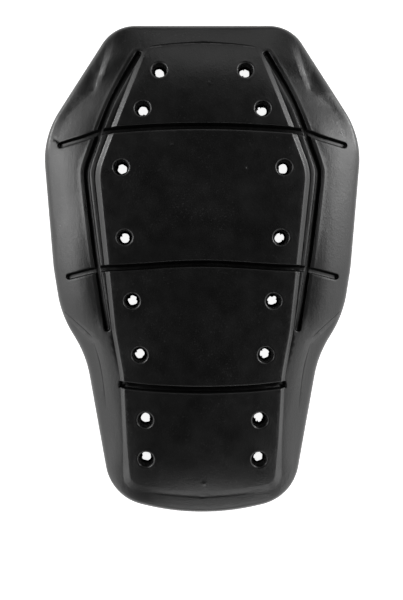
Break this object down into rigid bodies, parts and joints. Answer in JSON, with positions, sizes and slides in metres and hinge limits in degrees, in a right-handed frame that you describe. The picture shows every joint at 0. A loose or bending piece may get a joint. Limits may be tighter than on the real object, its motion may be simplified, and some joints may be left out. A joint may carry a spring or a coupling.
{
  "type": "back protector insert",
  "caption": "Full-back protector insert: a shallow foam rubber shell with a raised grooved panel, flexible wings and vent holes.",
  "frame": {"origin": "under the middle of the pad, on the plane that its rim rests on", "axes": "+X to the right seen from outside with the neck end up, +Y towards the neck end, +Z out of the back through the outer face"},
  "size_m": [0.29, 0.4481, 0.038],
  "materials": {
    "black_rubber": "satin"
  },
  "bodies": {
    "root": {"protector_pad": "black_rubber"}
  },
  "joints": []
}
